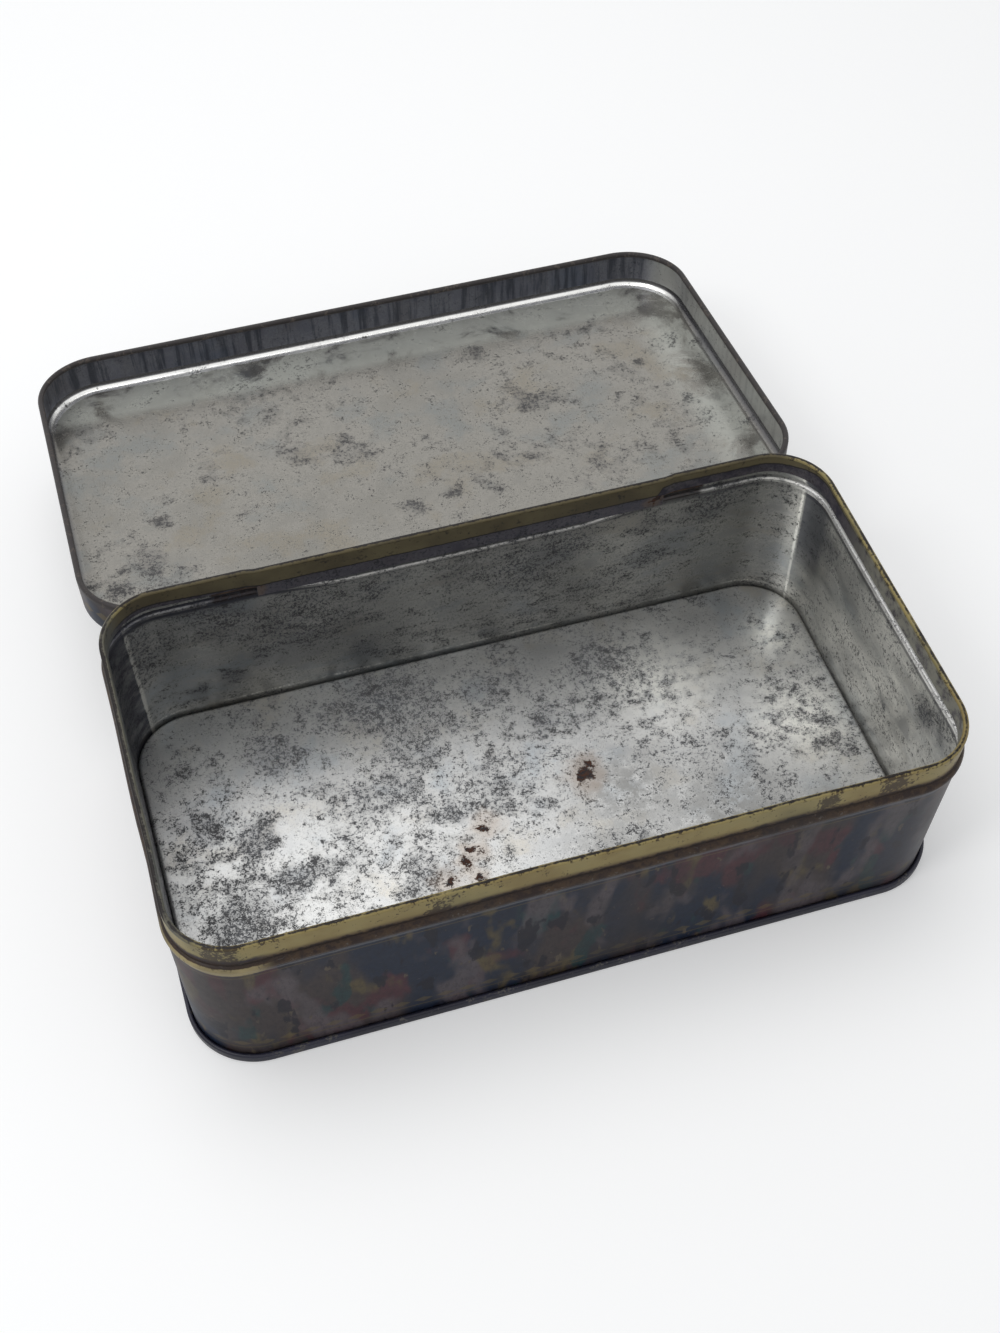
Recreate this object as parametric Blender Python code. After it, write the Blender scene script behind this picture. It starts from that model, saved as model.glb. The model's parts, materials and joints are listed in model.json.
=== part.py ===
"""An old tinplate box with a hinged lid, standing with its lid swung right over behind it.

Metres, +Z up. X runs along the box and Y from its front to its back. The tin is five pieces: the wall,
whose rim is hemmed inwards over the hinge strip, the bottom plate, which is double seamed to the wall,
the hinge strip, whose tabs pass out through a slot and roll round the hinge wire, the wire, and the lid,
whose own tabs roll round the same wire between them.

Every section is drawn as the middle line of the sheet, as "out" from the face of the neck and "up".
"""

import math

import bmesh
import bpy

# The wall, measured over the neck that the lid slides down on
BODY_LENGTH = 0.207
BODY_WIDTH = 0.114
BODY_HEIGHT = 0.057
CORNER_RADIUS = 0.017
SHEET = 0.0003

# The hem that folds inwards at the rim, and the neck and bead under it
HEM_DEPTH = 0.0058
NECK_HEIGHT = 0.0077
BEAD_RISE = 0.0012
BEAD_PROUD = 0.0006
BEAD_RADIUS = 0.0015
SHOULDER_RADIUS = 0.0004
BEAD_FOOT_RADIUS = 0.0008

# The double seam round the bottom, and the bottom plate inside it
SEAM_HEIGHT = 0.0032
SEAM_GAP = 0.0002
SEAM_TIP_GAP = 0.00025
SEAM_CORNER_RADIUS = 0.00045
PANEL_RISE = 0.0025
PANEL_CORNER_RADIUS = 0.001

# The lid
LID_OVERHANG = 0.00255
LID_DEPTH = 0.012
LID_FILLET = 0.0022
LID_CURL = 0.0017
LID_SEAT_GAP = 0.0003
LID_BACK_GAP = 0.00035

# The hinge
HINGE_LENGTH = 0.118
HINGE_OUT = 0.0022
HINGE_DROP = 0.0088
HINGE_RECESS = 0.0006
RECESS_RAMP = 0.003
BEAD_STRETCH = 0.0032
BEAD_STRETCH_RAMP = 0.03
STRIP_THICKNESS = 0.0003
STRIP_GAP = 0.0003
STRIP_TOP_DEPTH = 0.002
STRIP_BOTTOM_DEPTH = 0.0101
TAB_THICKNESS = 0.00026
TAB_BEND_RADIUS = 0.00035
TAB_OVERLAP = 0.0008
WIRE_DIAMETER = 0.0008
WIRE_CLEARANCE = 0.0001
KNUCKLE_GAP = 0.0003
SLOT_GAP = 0.0003
SLOT_TOP_DEPTH = 0.0062
SLOT_PAST_STRIP = 0.0125
NOTCH_CLEARANCE = 0.0005
KNUCKLES = 7

CUT_OVERRUN = 0.001
CORNER_STEPS = 8
ARC_STEP = math.radians(26)
CURL_TURN = math.radians(270)
STRIP_WRAP = math.radians(270)
LID_TAB_WRAP = math.radians(210)
SMOOTH_BELOW = math.radians(35)
WIRE_SIDES = 16

RIGHT_ANGLE = math.pi / 2
HEADING_OUT = 0.0
HEADING_UP = RIGHT_ANGLE
HEADING_DOWN = -RIGHT_ANGLE

# Where the middle line of each wall runs, and the levels that follow from it
HALF_SHEET = SHEET / 2
NECK_LINE = -HALF_SHEET
WALL_STEP = BEAD_RISE - BEAD_PROUD
WALL_LINE = NECK_LINE + WALL_STEP
HEM_RADIUS = (STRIP_THICKNESS + 2 * STRIP_GAP + SHEET) / 2
SEAM_PITCH = SHEET + SEAM_GAP
SEAM_OUT = WALL_LINE + 3 * SEAM_PITCH + HALF_SHEET
CHUCK_LINE = WALL_LINE - SEAM_PITCH
LID_LINE = LID_OVERHANG - HALF_SHEET

# The bead is three arcs: out from the neck, over the bead, and back to the wall
BEAD_TOP_ANGLE = math.acos(1 - BEAD_RISE / (SHOULDER_RADIUS + BEAD_RADIUS))
BEAD_FOOT_ANGLE = math.acos(1 - BEAD_PROUD / (BEAD_RADIUS + BEAD_FOOT_RADIUS))
BEAD_CENTRE_OUT = NECK_LINE + BEAD_RISE - BEAD_RADIUS
BEAD_CENTRE_DEPTH = NECK_HEIGHT + (SHOULDER_RADIUS + BEAD_RADIUS) * math.sin(BEAD_TOP_ANGLE)

# The closed lid comes down until its curl is the seat gap from the bead
CURL_LINE_RADIUS = (LID_CURL - SHEET) / 2
CURL_CENTRE_OUT = LID_OVERHANG - LID_CURL / 2
CURL_REACH = BEAD_RADIUS + HALF_SHEET + LID_CURL / 2 + LID_SEAT_GAP
CURL_CENTRE_DEPTH = BEAD_CENTRE_DEPTH - math.sqrt(CURL_REACH**2 - (CURL_CENTRE_OUT - BEAD_CENTRE_OUT) ** 2)
LID_EDGE_DEPTH = CURL_CENTRE_DEPTH + LID_CURL / 2

# The knuckles roll round the wire, whose middle is the hinge's axis
KNUCKLE_LINE_RADIUS = WIRE_DIAMETER / 2 + WIRE_CLEARANCE + TAB_THICKNESS / 2
KNUCKLE_RADIUS = KNUCKLE_LINE_RADIUS + TAB_THICKNESS / 2
KNUCKLE_PITCH = HINGE_LENGTH / KNUCKLES
HINGE_HEIGHT = BODY_HEIGHT - HINGE_DROP
HINGE_BACK = BODY_WIDTH / 2 + HINGE_OUT
STRIP_LINE = -HINGE_RECESS - SHEET - STRIP_GAP - STRIP_THICKNESS / 2

# Heights on the lid are taken from the hinge's axis, with the lid shut
LID_EDGE = HINGE_DROP - LID_EDGE_DEPTH
LID_TOP = LID_EDGE + LID_DEPTH + SHEET
LID_MIDDLE = -HINGE_BACK
NOTCH_TOP = max(KNUCKLE_RADIUS, LID_EDGE + LID_CURL) + NOTCH_CLEARANCE

# Swung over, the lid leans back until the foot of its rear skirt all but rests on the wall
SKIRT_BEHIND = LID_OVERHANG - HINGE_OUT
LEAN = math.asin((HINGE_OUT - WALL_STEP - LID_BACK_GAP - SKIRT_BEHIND) / (LID_TOP - LID_FILLET - SHEET))
LID_REACH = BODY_WIDTH + HINGE_OUT + CURL_CENTRE_OUT
LID_BACK = LID_REACH * math.cos(LEAN) - (HINGE_DROP - CURL_CENTRE_DEPTH) * math.sin(LEAN) + LID_CURL / 2
OPEN_BACK = HINGE_BACK + LID_BACK
OPEN_FRONT = -BODY_WIDTH / 2 - SEAM_OUT
BODY_MIDDLE = -(OPEN_BACK + OPEN_FRONT) / 2


class Trace:
    """The middle line of a bent sheet, drawn as a pen would: points are (out, up)."""

    def __init__(self, out, up, heading):
        self.points = [(out, up)]
        self.heading = heading

    def go(self, length):
        out, up = self.points[-1]
        self.points.append((out + length * math.cos(self.heading), up + length * math.sin(self.heading)))
        return self

    def go_to_height(self, height):
        return self.go(abs(height - self.points[-1][1]))

    def turn(self, radius, angle):
        """Follows an arc to the left, or to the right where the angle is negative."""
        side = math.copysign(1, angle)
        start = self.heading - side * RIGHT_ANGLE
        out, up = self.points[-1]
        centre_out = out - radius * math.cos(start)
        centre_up = up - radius * math.sin(start)
        steps = math.ceil(abs(angle) / ARC_STEP)
        for step in range(1, steps + 1):
            at = start + angle * step / steps
            self.points.append((centre_out + radius * math.cos(at), centre_up + radius * math.sin(at)))
        self.heading += angle
        return self


def sheet_section(points, thickness):
    """The outline of a sheet whose middle line is given: down its left side and back up its right."""
    left, right = [], []
    for index, (out, up) in enumerate(points):
        before = points[max(index - 1, 0)]
        after = points[min(index + 1, len(points) - 1)]
        arriving = math.atan2(up - before[1], out - before[0]) if index > 0 else None
        leaving = math.atan2(after[1] - up, after[0] - out) if index < len(points) - 1 else arriving
        if arriving is None:
            arriving = leaving
        bend = math.remainder(leaving - arriving, math.tau)
        across = arriving + bend / 2 + RIGHT_ANGLE
        reach = thickness / 2 / math.cos(bend / 2)
        left.append((out + reach * math.cos(across), up + reach * math.sin(across)))
        right.append((out - reach * math.cos(across), up - reach * math.sin(across)))
    return left + right[::-1]


def stations(length, width, radius, back_stops=()):
    """Goes once round a rectangle with round corners: (x, y, direction x, direction y) of each stop.

    x and y lie on the line through the corners' centres, which each section then stands out from.
    back_stops are places along X where the back has a stop of its own.
    """
    half_x, half_y = length / 2 - radius, width / 2 - radius
    corners = ((half_x, -half_y, -RIGHT_ANGLE), (half_x, half_y, 0.0), (-half_x, half_y, RIGHT_ANGLE),
               (-half_x, -half_y, math.pi))
    stops = []
    for number, (x, y, start) in enumerate(corners):
        if number == 2:
            stops += [(stop, half_y, 0.0, 1.0) for stop in sorted(back_stops, reverse=True)]
        for step in range(CORNER_STEPS + 1):
            angle = start + RIGHT_ANGLE * step / CORNER_STEPS
            stops.append((x, y, math.cos(angle), math.sin(angle)))
    return stops


def mesh_object(name, mesh_edit, material=None):
    bmesh.ops.recalc_face_normals(mesh_edit, faces=mesh_edit.faces)
    mesh = bpy.data.meshes.new(name)
    mesh_edit.to_mesh(mesh)
    mesh_edit.free()
    mesh.shade_smooth()
    mesh.set_sharp_from_angle(angle=SMOOTH_BELOW)
    made = bpy.data.objects.new(name, mesh)
    bpy.context.scene.collection.objects.link(made)
    if material:
        mesh.materials.append(material)
    return made


def swept(name, section, stops, radius, material, closed, press=None):
    """Carries a section round the stops. A closed one makes a ring. One that isn't makes a tray, whose
    first and last points are the edges of a flat panel. press(x, y direction, up) gives how far a point
    is moved inwards and down."""
    edit = bmesh.new()
    rings = []
    for out, up in section:
        ring = []
        for x, y, toward_x, toward_y in stops:
            inwards, down = press(x, toward_y, up) if press else (0.0, 0.0)
            stand = radius + out - inwards
            ring.append(edit.verts.new((x + stand * toward_x, y + stand * toward_y, up - down)))
        rings.append(ring)
    pairs = list(zip(rings, rings[1:]))
    if closed:
        pairs.append((rings[-1], rings[0]))
    else:
        edit.faces.new(rings[0])
        edit.faces.new(rings[-1])
    for first, second in pairs:
        for index in range(len(stops)):
            after = (index + 1) % len(stops)
            edit.faces.new((first[index], first[after], second[after], second[index]))
    return mesh_object(name, edit, material)


def add_prism(edit, section, start, end):
    """Adds a solid of one section, given as (y, z), that runs along X."""
    ends = [[edit.verts.new((x, out, up)) for out, up in section] for x in (start, end)]
    edit.faces.new(ends[0])
    edit.faces.new(ends[1])
    for index in range(len(section)):
        after = (index + 1) % len(section)
        edit.faces.new((ends[0][index], ends[0][after], ends[1][after], ends[1][index]))


def box_section(low_out, high_out, low_up, high_up):
    return [(low_out, low_up), (high_out, low_up), (high_out, high_up), (low_out, high_up)]


def knuckle_spans(first):
    """The (start, end) along X of every other knuckle, from the one numbered first."""
    left = -HINGE_LENGTH / 2
    for number in range(first, KNUCKLES, 2):
        start = left + number * KNUCKLE_PITCH
        yield start + KNUCKLE_GAP / 2, start + KNUCKLE_PITCH - KNUCKLE_GAP / 2


def helper(made):
    """Marks a shape that only cuts or joins another."""
    made.hide_render = True
    made.display_type = "WIRE"
    return made


def boolean(target, other, operation):
    modifier = target.modifiers.new(other.name, "BOOLEAN")
    modifier.operation = operation
    modifier.solver = "EXACT"
    modifier.object = other


def material(name, colour, roughness, metallic):
    made = bpy.data.materials.new(name)
    made.use_nodes = True
    shader = made.node_tree.nodes["Principled BSDF"]
    shader.inputs["Base Color"].default_value = (*colour, 1.0)
    shader.inputs["Roughness"].default_value = roughness
    shader.inputs["Metallic"].default_value = metallic
    made.diffuse_color = (*colour, 1.0)
    return made


def hinge_press(x, toward_y, up):
    """Behind the hinge the neck is set in, and the bead reaches further down. (inwards, down)"""
    before_end = HINGE_LENGTH / 2 + RECESS_RAMP - abs(x)
    if toward_y < 1.0 or before_end <= 0.0:
        return 0.0, 0.0
    bead_level = BODY_HEIGHT - BEAD_CENTRE_DEPTH
    neck_foot = BODY_HEIGHT - NECK_HEIGHT
    neck_share = min(1.0, max(0.0, (up - bead_level) / (neck_foot - bead_level)))
    inwards = HINGE_RECESS * min(1.0, before_end / RECESS_RAMP) * neck_share
    bead_foot = bead_level - (BEAD_RADIUS + BEAD_FOOT_RADIUS) * math.sin(BEAD_FOOT_ANGLE)
    in_bead = bead_foot - HALF_SHEET < up < bead_level - HALF_SHEET
    return inwards, BEAD_STRETCH * min(1.0, before_end / BEAD_STRETCH_RAMP) if in_bead else 0.0


def make_wall(finish):
    line = Trace(NECK_LINE - 2 * HEM_RADIUS, BODY_HEIGHT - HEM_DEPTH, HEADING_UP)
    line.go_to_height(BODY_HEIGHT - HALF_SHEET - HEM_RADIUS).turn(HEM_RADIUS, -math.pi)
    line.go_to_height(BODY_HEIGHT - NECK_HEIGHT)
    line.turn(SHOULDER_RADIUS, BEAD_TOP_ANGLE)
    line.turn(BEAD_RADIUS, -BEAD_TOP_ANGLE).turn(BEAD_RADIUS, -BEAD_FOOT_ANGLE)
    line.turn(BEAD_FOOT_RADIUS, BEAD_FOOT_ANGLE)
    line.go_to_height(HALF_SHEET + 2 * SEAM_PITCH).turn(SEAM_PITCH, math.pi)
    line.go_to_height(SEAM_HEIGHT - SHEET - SEAM_TIP_GAP)
    half = HINGE_LENGTH / 2
    ends = (half, half + RECESS_RAMP, half + RECESS_RAMP - BEAD_STRETCH_RAMP)
    back_stops = [side * end for side in (-1, 1) for end in ends]
    round_stops = stations(BODY_LENGTH, BODY_WIDTH, CORNER_RADIUS, back_stops)
    section = sheet_section(line.points, SHEET)
    wall = swept("body_wall", section, round_stops, CORNER_RADIUS, finish, True, hinge_press)
    slot = bmesh.new()
    back = BODY_WIDTH / 2
    slot_foot = HINGE_HEIGHT + KNUCKLE_LINE_RADIUS - TAB_THICKNESS / 2 - SLOT_GAP
    outline = box_section(back - HINGE_RECESS - SHEET - STRIP_GAP, back + BEAD_RISE + CUT_OVERRUN,
                          slot_foot, BODY_HEIGHT - SLOT_TOP_DEPTH)
    add_prism(slot, outline, -half - SLOT_PAST_STRIP, half + SLOT_PAST_STRIP)
    cutter = helper(mesh_object("neck_slot", slot))
    boolean(wall, cutter, "DIFFERENCE")
    return [wall, cutter]


def make_bottom(finish):
    line = Trace(CHUCK_LINE - PANEL_CORNER_RADIUS, PANEL_RISE - HALF_SHEET, HEADING_OUT)
    line.turn(PANEL_CORNER_RADIUS, -RIGHT_ANGLE)
    line.go_to_height(HALF_SHEET + SEAM_CORNER_RADIUS).turn(SEAM_CORNER_RADIUS, RIGHT_ANGLE)
    line.go(4 * SEAM_PITCH - 2 * SEAM_CORNER_RADIUS).turn(SEAM_CORNER_RADIUS, RIGHT_ANGLE)
    line.go_to_height(SEAM_HEIGHT - HALF_SHEET - SEAM_PITCH).turn(SEAM_PITCH, math.pi)
    line.go_to_height(HALF_SHEET + SEAM_PITCH + HALF_SHEET + SEAM_TIP_GAP)
    round_stops = stations(BODY_LENGTH, BODY_WIDTH, CORNER_RADIUS)
    section = sheet_section(line.points, SHEET)
    return [swept("base_plate", section, round_stops, CORNER_RADIUS, finish, False)]


def make_hinge_strip(finish):
    half = STRIP_THICKNESS / 2
    back = BODY_WIDTH / 2
    top = BODY_HEIGHT - STRIP_TOP_DEPTH
    bottom = BODY_HEIGHT - STRIP_BOTTOM_DEPTH
    plate = bmesh.new()
    outline = box_section(back + STRIP_LINE - half, back + STRIP_LINE + half, bottom, top)
    add_prism(plate, outline, -HINGE_LENGTH / 2, HINGE_LENGTH / 2)
    strip = mesh_object("hinge_strip", plate, finish)
    tabs = bmesh.new()
    bend_top = HINGE_HEIGHT + KNUCKLE_LINE_RADIUS + TAB_BEND_RADIUS
    line = Trace(back + STRIP_LINE, bend_top + TAB_OVERLAP, HEADING_DOWN)
    line.go_to_height(bend_top).turn(TAB_BEND_RADIUS, RIGHT_ANGLE)
    line.go(HINGE_OUT - STRIP_LINE - TAB_BEND_RADIUS).turn(KNUCKLE_LINE_RADIUS, -STRIP_WRAP)
    outline = sheet_section(line.points, TAB_THICKNESS)
    for start, end in knuckle_spans(0):
        add_prism(tabs, outline, start, end)
    joined = helper(mesh_object("strip_tabs", tabs))
    boolean(strip, joined, "UNION")
    return [strip, joined]


def make_hinge_wire(finish):
    edit = bmesh.new()
    radius = WIRE_DIAMETER / 2
    turns = [math.tau * side / WIRE_SIDES for side in range(WIRE_SIDES)]
    outline = [(HINGE_BACK + radius * math.cos(turn), HINGE_HEIGHT + radius * math.sin(turn)) for turn in turns]
    add_prism(edit, outline, -HINGE_LENGTH / 2, HINGE_LENGTH / 2)
    return [mesh_object("hinge_wire", edit, finish)]


def lid_tab_section():
    """From inside the skirt down, out round a small bend, and over the wire."""
    beside = LID_LINE - HINGE_OUT
    swing = math.acos((beside + TAB_BEND_RADIUS) / (KNUCKLE_LINE_RADIUS + TAB_BEND_RADIUS))
    line = Trace(beside, NOTCH_TOP + TAB_OVERLAP, HEADING_DOWN)
    line.go_to_height((KNUCKLE_LINE_RADIUS + TAB_BEND_RADIUS) * math.sin(swing))
    line.turn(TAB_BEND_RADIUS, swing).turn(KNUCKLE_LINE_RADIUS, -swing - LID_TAB_WRAP)
    return sheet_section(line.points, TAB_THICKNESS)


def make_lid(finish):
    """The lid is drawn shut, from the hinge's axis, which is where its own origin lies."""
    line = Trace(LID_LINE - LID_FILLET - HALF_SHEET, LID_TOP - HALF_SHEET, HEADING_OUT)
    line.turn(LID_FILLET + HALF_SHEET, -RIGHT_ANGLE)
    line.go_to_height(LID_EDGE + LID_CURL / 2).turn(CURL_LINE_RADIUS, -CURL_TURN)
    shut = [(x, y + LID_MIDDLE, toward_x, toward_y)
            for x, y, toward_x, toward_y in stations(BODY_LENGTH, BODY_WIDTH, CORNER_RADIUS)]
    lid = swept("lid", sheet_section(line.points, SHEET), shut, CORNER_RADIUS, finish, False)
    notch = bmesh.new()
    half = HINGE_LENGTH / 2 + NOTCH_CLEARANCE
    outline = box_section(SKIRT_BEHIND - LID_CURL - CUT_OVERRUN, SKIRT_BEHIND + CUT_OVERRUN,
                          LID_EDGE - CUT_OVERRUN, NOTCH_TOP)
    add_prism(notch, outline, -half, half)
    tabs = bmesh.new()
    outline = lid_tab_section()
    for start, end in knuckle_spans(1):
        add_prism(tabs, outline, start, end)
    cutter = helper(mesh_object("lid_notch", notch))
    joined = helper(mesh_object("lid_tabs", tabs))
    boolean(lid, cutter, "DIFFERENCE")
    boolean(lid, joined, "UNION")
    return [lid, cutter, joined]


def empty(name, location, parent=None):
    made = bpy.data.objects.new(name, None)
    made.location = location
    made.parent = parent
    bpy.context.scene.collection.objects.link(made)
    return made


def main():
    for old in list(bpy.data.objects):
        bpy.data.objects.remove(old)
    printed = material("printed_tinplate", (0.09, 0.085, 0.095), 0.35, 0.3)
    bare = material("bare_tinplate", (0.55, 0.54, 0.52), 0.35, 0.9)
    stained = material("stained_tinplate", (0.22, 0.21, 0.22), 0.45, 0.8)
    steel = material("hinge_steel", (0.3, 0.28, 0.27), 0.5, 0.9)
    body = empty("body_frame", (0.0, BODY_MIDDLE, 0.0))
    hinge = empty("hinge_axis", (0.0, HINGE_BACK, HINGE_HEIGHT), body)
    hinge.rotation_euler.x = -math.pi - LEAN
    for made in make_wall(printed) + make_bottom(bare) + make_hinge_strip(stained) + make_hinge_wire(steel):
        made.parent = body
    for made in make_lid(printed):
        made.parent = hinge


main()
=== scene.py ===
"""The looks of an old hinged tin: finer sheet metal over its solids, with print, patina, rust and wear.

Metres, +Z up. Sections are drawn as the middle line of the sheet, as in the solids: "out" from the face of
the neck and "up". The lid is drawn shut, from the hinge's axis, and then swung over.
"""

import json
import math

import bmesh
import bpy
from mathutils import Matrix, Vector


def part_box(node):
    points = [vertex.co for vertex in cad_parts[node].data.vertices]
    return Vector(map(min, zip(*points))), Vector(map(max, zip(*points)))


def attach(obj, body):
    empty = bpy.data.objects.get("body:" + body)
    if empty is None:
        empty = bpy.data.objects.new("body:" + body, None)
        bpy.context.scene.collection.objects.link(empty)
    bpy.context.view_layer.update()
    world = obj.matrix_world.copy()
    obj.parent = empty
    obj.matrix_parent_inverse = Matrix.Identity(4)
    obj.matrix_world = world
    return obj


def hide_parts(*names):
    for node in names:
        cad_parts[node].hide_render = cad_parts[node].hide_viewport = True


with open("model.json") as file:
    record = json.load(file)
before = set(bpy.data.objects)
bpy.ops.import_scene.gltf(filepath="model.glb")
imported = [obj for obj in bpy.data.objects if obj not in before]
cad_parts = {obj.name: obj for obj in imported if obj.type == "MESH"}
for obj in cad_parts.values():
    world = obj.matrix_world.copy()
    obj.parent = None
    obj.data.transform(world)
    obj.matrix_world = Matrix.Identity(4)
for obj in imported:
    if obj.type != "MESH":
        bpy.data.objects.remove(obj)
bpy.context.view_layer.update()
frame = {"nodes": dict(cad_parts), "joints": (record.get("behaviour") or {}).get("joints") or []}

# Sizes, the same as those of the solids
BODY_LENGTH = 0.207
BODY_WIDTH = 0.114
BODY_HEIGHT = 0.057
CORNER_RADIUS = 0.017
SHEET = 0.0003
HEM_DEPTH = 0.0058
HEM_RADIUS = 0.0006
NECK_HEIGHT = 0.0077
BEAD_RISE = 0.0012
BEAD_PROUD = 0.0006
BEAD_RADIUS = 0.0015
SHOULDER_RADIUS = 0.0004
BEAD_FOOT_RADIUS = 0.0008
SEAM_HEIGHT = 0.0032
SEAM_PITCH = 0.0005
SEAM_TIP_GAP = 0.00025
SEAM_CORNER_RADIUS = 0.00045
PANEL_RISE = 0.0025
PANEL_CORNER_RADIUS = 0.001
LID_OVERHANG = 0.00255
LID_DEPTH = 0.012
LID_FILLET = 0.0022
LID_CURL = 0.0017
LID_CURL_TURN = math.radians(270)
LID_SEAT_GAP = 0.0003
LID_BACK_GAP = 0.00035
HINGE_LENGTH = 0.118
HINGE_OUT = 0.0022
HINGE_DROP = 0.0088
HINGE_RECESS = 0.0006
RECESS_RAMP = 0.003
BEAD_STRETCH = 0.0032
BEAD_STRETCH_RAMP = 0.03
TAB_THICKNESS = 0.00026
TAB_BEND_RADIUS = 0.00035
TAB_OVERLAP = 0.0008
KNUCKLE_LINE_RADIUS = 0.00063
KNUCKLE_RADIUS = 0.00076
KNUCKLE_TURN = math.radians(210)
KNUCKLE_GAP = 0.0003
KNUCKLES = 7
SLOT_GAP = 0.0003
SLOT_TOP_DEPTH = 0.0062
SLOT_PAST_STRIP = 0.0125
NOTCH_CLEARANCE = 0.0005

# How finely the sheet is divided
CORNER_STEPS = 20
STOP_PITCH = 0.006
LEAST_PITCH = 0.0012
ARC_STEP = math.radians(11)
FLAT_EDGE = 0.001
WALL_SPLIT_HEIGHT = 0.042
SHARP_ANGLE = math.radians(38)
RIGHT_ANGLE = math.pi / 2
# The least direction y of a stop on the back's straight run, and of one on it or next to it
ON_BACK = 0.999
BY_BACK = 0.99

HALF_SHEET = SHEET / 2
NECK_LINE = -HALF_SHEET
WALL_STEP = BEAD_RISE - BEAD_PROUD
WALL_LINE = NECK_LINE + WALL_STEP
LID_LINE = LID_OVERHANG - HALF_SHEET
BEAD_TOP_ANGLE = math.acos(1 - BEAD_RISE / (SHOULDER_RADIUS + BEAD_RADIUS))
BEAD_FOOT_ANGLE = math.acos(1 - BEAD_PROUD / (BEAD_RADIUS + BEAD_FOOT_RADIUS))
BEAD_CENTRE_OUT = NECK_LINE + BEAD_RISE - BEAD_RADIUS
BEAD_CENTRE_DEPTH = NECK_HEIGHT + (SHOULDER_RADIUS + BEAD_RADIUS) * math.sin(BEAD_TOP_ANGLE)
CURL_CENTRE_OUT = LID_OVERHANG - LID_CURL / 2
CURL_REACH = BEAD_RADIUS + HALF_SHEET + LID_CURL / 2 + LID_SEAT_GAP
CURL_CENTRE_DEPTH = BEAD_CENTRE_DEPTH - math.sqrt(CURL_REACH**2 - (CURL_CENTRE_OUT - BEAD_CENTRE_OUT) ** 2)
HALF_HINGE = HINGE_LENGTH / 2
HINGE_HEIGHT = BODY_HEIGHT - HINGE_DROP
LID_EDGE = HINGE_DROP - CURL_CENTRE_DEPTH - LID_CURL / 2
LID_TOP = LID_EDGE + LID_DEPTH + SHEET
LID_MIDDLE = -BODY_WIDTH / 2 - HINGE_OUT
NOTCH_TOP = max(KNUCKLE_RADIUS, LID_EDGE + LID_CURL) + NOTCH_CLEARANCE
SKIRT_BEHIND = LID_OVERHANG - HINGE_OUT
LEAN = math.asin((HINGE_OUT - WALL_STEP - LID_BACK_GAP - SKIRT_BEHIND) / (LID_TOP - LID_FILLET - SHEET))
HINGE = Vector(frame["joints"][0]["pos_m"])
wall_low, wall_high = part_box("body_wall")
BODY_MIDDLE = (wall_low.y + wall_high.y) / 2


def on_tin(x, y, up):
    return Vector((x, y + BODY_MIDDLE, up))


def on_lid(x, y, up):
    """From the shut lid, drawn from the hinge's axis, to where it lies swung over."""
    return Vector((x, HINGE.y - y * math.cos(LEAN) - up * math.sin(LEAN),
                   HINGE.z + y * math.sin(LEAN) - up * math.cos(LEAN)))


class Trace:
    """The middle line of a bent sheet, and the finish on its left and on its right."""

    def __init__(self, out, up, heading, left, right):
        self.points = [(out, up)]
        self.heading = heading
        self.skin = (left, right)
        self.skins = []

    def finish(self, left, right):
        self.skin = (left, right)
        return self

    def add(self, out, up):
        self.points.append((out, up))
        self.skins.append(self.skin)

    def go(self, length, parts=1):
        out, up = self.points[-1]
        for part in range(1, parts + 1):
            step = length * part / parts
            self.add(out + step * math.cos(self.heading), up + step * math.sin(self.heading))
        return self

    def go_to_height(self, height, parts=1):
        return self.go(abs(height - self.points[-1][1]), parts)

    def turn(self, radius, angle):
        start = self.heading - math.copysign(RIGHT_ANGLE, angle)
        out, up = self.points[-1]
        centre_out = out - radius * math.cos(start)
        centre_up = up - radius * math.sin(start)
        steps = math.ceil(abs(angle) / ARC_STEP)
        for step in range(1, steps + 1):
            at = start + angle * step / steps
            self.add(centre_out + radius * math.cos(at), centre_up + radius * math.sin(at))
        self.heading += angle
        return self


def both_sides(points, thickness):
    """The sheet's two faces, from the points of its middle line."""
    headings = [math.atan2(after[1] - before[1], after[0] - before[0])
                for before, after in zip(points, points[1:])]
    left, right = [], []
    for (out, up), arriving, leaving in zip(points, headings[:1] + headings, headings + headings[-1:]):
        bend = math.remainder(leaving - arriving, math.tau)
        across = arriving + bend / 2 + RIGHT_ANGLE
        reach = thickness / 2 / math.cos(bend / 2)
        left.append((out + reach * math.cos(across), up + reach * math.sin(across)))
        right.append((out - reach * math.cos(across), up - reach * math.sin(across)))
    return left, right


def stations(back_stops=()):
    """Once round the rectangle from the middle of its back: (x, y, direction x, direction y)."""
    half_x, half_y = BODY_LENGTH / 2 - CORNER_RADIUS, BODY_WIDTH / 2 - CORNER_RADIUS
    corners = ((-half_x, half_y, RIGHT_ANGLE), (-half_x, -half_y, math.pi),
               (half_x, -half_y, -RIGHT_ANGLE), (half_x, half_y, 0.0))
    stops = [(0.0, half_y, 0.0, 1.0)]

    def straight(to_x, to_y):
        x, y, *toward = stops[-1]
        length = math.hypot(to_x - x, to_y - y)
        parts = max(1, round(length / STOP_PITCH))
        shares = {round(part / parts, 6) for part in range(1, parts)}
        if toward[1] > ON_BACK:
            wanted = [abs(stop - x) / length for stop in back_stops if min(x, to_x) < stop < max(x, to_x)]
            shares = {share for share in shares
                      if all(abs(share - want) * length > LEAST_PITCH for want in wanted)}
            shares.update(wanted)
        for share in sorted(shares):
            stops.append((x + (to_x - x) * share, y + (to_y - y) * share, *toward))

    for x, y, start in corners:
        straight(x, y)
        for step in range(CORNER_STEPS + 1):
            angle = start + RIGHT_ANGLE * step / CORNER_STEPS
            stops.append((x, y, round(math.cos(angle), 12), round(math.sin(angle), 12)))
    straight(0.0, half_y)
    return stops


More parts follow.
